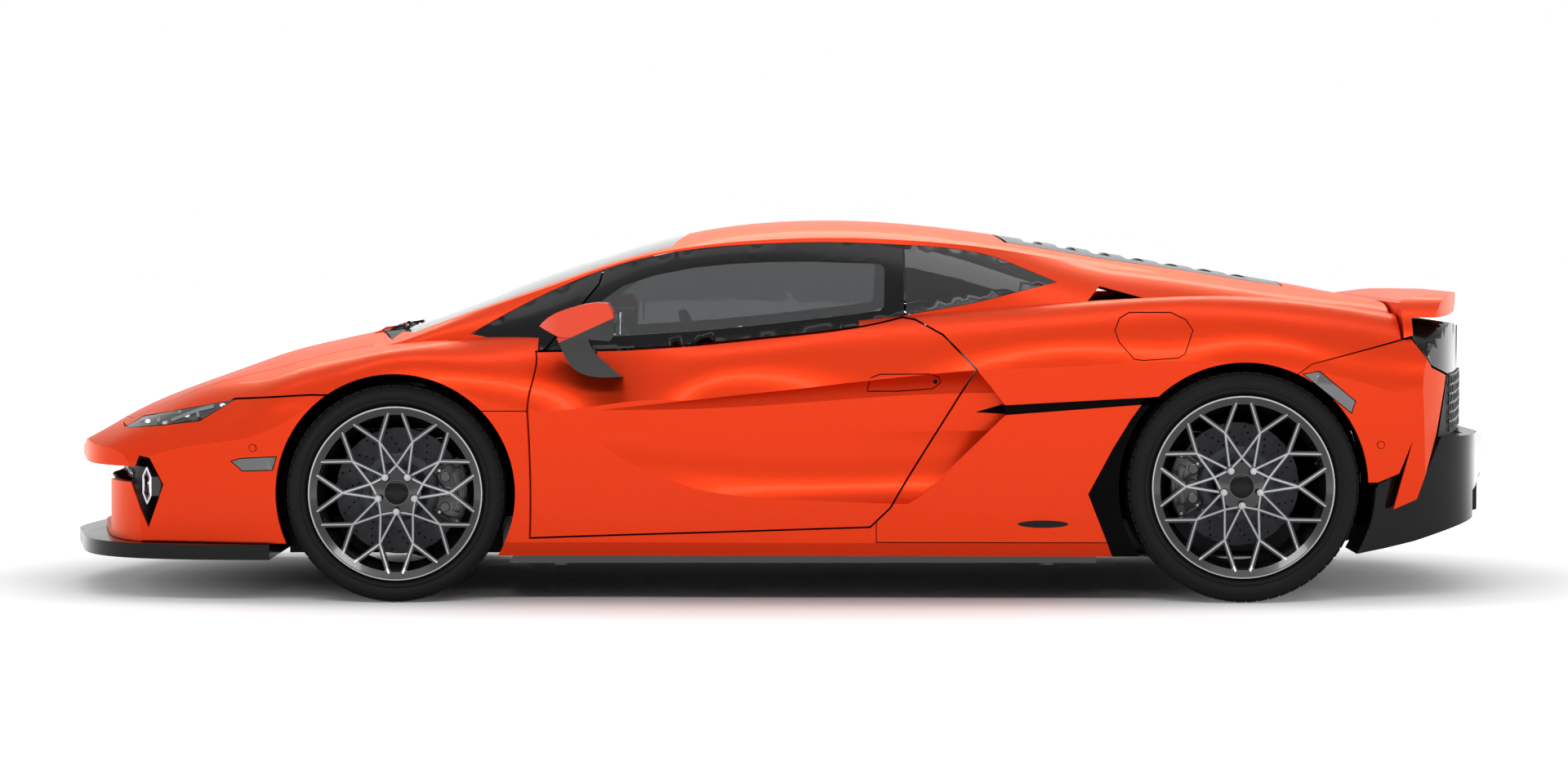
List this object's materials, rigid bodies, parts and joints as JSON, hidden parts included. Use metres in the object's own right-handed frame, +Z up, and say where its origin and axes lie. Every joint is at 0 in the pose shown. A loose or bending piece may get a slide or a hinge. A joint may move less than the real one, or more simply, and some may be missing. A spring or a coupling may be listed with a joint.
{
  "type": "supercar",
  "caption": "Low two-seat mid-engined sports car in orange metallic paint, with opening doors, bonnet and engine cover, steering and rolling wheels.",
  "frame": {"origin": "middle of the bounding box on the road", "axes": "+X towards the tail, +Y towards the car's right side, +Z up"},
  "size_m": [4.706, 2.2338, 1.2006],
  "materials": {
    "paint": "orange metallic, clear coated",
    "black_trim": "gloss black",
    "plastic": "satin black",
    "carbon": "satin woven composite",
    "frame_alloy": "dark coated alloy",
    "engine_metal": "cast",
    "glass": "tinted",
    "lamp_glass": "clear over black",
    "lamp_red": "dark red lens in black",
    "steel": "brushed",
    "seat_leather": "black, stitched",
    "wheel_metal": "gloss black with machined edges",
    "tyre_rubber": "matt"
  },
  "bodies": {
    "body": {"cabin_tub": "carbon", "front_frame": "frame_alloy", "rear_frame": "frame_alloy", "engine_block": "engine_metal", "cowl_panel": "black_trim", "front_wings": "paint", "front_lamps": "lamp_glass", "front_bumper": "paint", "front_splitter": "black_trim", "front_grille": "black_trim", "side_sills": "paint", "rear_quarters": "paint", "roof_shell": "paint", "windscreen": "glass", "fixed_glass": "glass", "rear_bumper": "paint", "tail_lamps": "lamp_red", "rear_grille": "black_trim", "rear_spoiler": "paint", "rear_diffuser": "black_trim", "exhaust_tip": "steel", "wheel_liners": "plastic", "suspension": "frame_alloy", "seats": "seat_leather", "dashboard": "plastic", "centre_console": "plastic"},
    "door_left": {"door_left": "paint", "door_glass_left": "glass", "mirror_left": "paint"},
    "door_right": {"door_right": "paint", "door_glass_right": "glass", "mirror_right": "paint"},
    "bonnet": {"bonnet": "paint"},
    "engine_cover": {"engine_cover": "black_trim"},
    "steering_wheel": {"steering_wheel": "seat_leather"},
    "knuckle_left": {"front_knuckle_left": "frame_alloy"},
    "knuckle_right": {"front_knuckle_right": "frame_alloy"},
    "wheel_front_left": {"wheel_front_left": "wheel_metal", "tyre_front_left": "tyre_rubber"},
    "wheel_front_right": {"wheel_front_right": "wheel_metal", "tyre_front_right": "tyre_rubber"},
    "wheel_rear_left": {"wheel_rear_left": "wheel_metal", "tyre_rear_left": "tyre_rubber"},
    "wheel_rear_right": {"wheel_rear_right": "wheel_metal", "tyre_rear_right": "tyre_rubber"}
  },
  "joints": [
    {"name": "door_left_hinge", "type": "hinge", "parent": "body", "child": "door_left", "pos_m": [-0.88, -0.885, 0.5], "axis": [0, 0, -1], "range_deg": [0, 60]},
    {"name": "steer_left", "type": "hinge", "parent": "body", "child": "knuckle_left", "pos_m": [-1.207, -0.748, 0.34325], "axis": [0, 0, 1], "range_deg": [-30, 30]},
    {"name": "wheel_front_left_spin", "type": "hinge", "parent": "knuckle_left", "child": "wheel_front_left", "pos_m": [-1.207, -0.832, 0.34325], "axis": [0, 1, 0], "continuous": true},
    {"name": "wheel_rear_left_spin", "type": "hinge", "parent": "body", "child": "wheel_rear_left", "pos_m": [1.451, -0.82, 0.3642], "axis": [0, 1, 0], "continuous": true},
    {"name": "door_right_hinge", "type": "hinge", "parent": "body", "child": "door_right", "pos_m": [-0.88, 0.885, 0.5], "axis": [0, 0, 1], "range_deg": [0, 60]},
    {"name": "steer_right", "type": "hinge", "parent": "body", "child": "knuckle_right", "pos_m": [-1.207, 0.748, 0.34325], "axis": [0, 0, 1], "range_deg": [-30, 30]},
    {"name": "wheel_front_right_spin", "type": "hinge", "parent": "knuckle_right", "child": "wheel_front_right", "pos_m": [-1.207, 0.832, 0.34325], "axis": [0, 1, 0], "continuous": true},
    {"name": "wheel_rear_right_spin", "type": "hinge", "parent": "body", "child": "wheel_rear_right", "pos_m": [1.451, 0.82, 0.3642], "axis": [0, 1, 0], "continuous": true},
    {"name": "bonnet_hinge", "type": "hinge", "parent": "body", "child": "bonnet", "pos_m": [-1.232, 0, 0.855], "axis": [0, 1, 0], "range_deg": [0, 55]},
    {"name": "engine_cover_hinge", "type": "hinge", "parent": "body", "child": "engine_cover", "pos_m": [0.702, 0, 1.14773], "axis": [0, -1, 0], "range_deg": [0, 45]},
    {"name": "steering_wheel_turn", "type": "hinge", "parent": "body", "child": "steering_wheel", "pos_m": [-0.25, -0.365, 0.727], "axis": [0.9272, 0, 0.3746], "range_deg": [-390, 390]}
  ],
  "couplings": [
    {"joint": "steer_right", "follows": "steer_left", "ratio": 1},
    {"joint": "steering_wheel_turn", "follows": "steer_left", "ratio": 13}
  ]
}
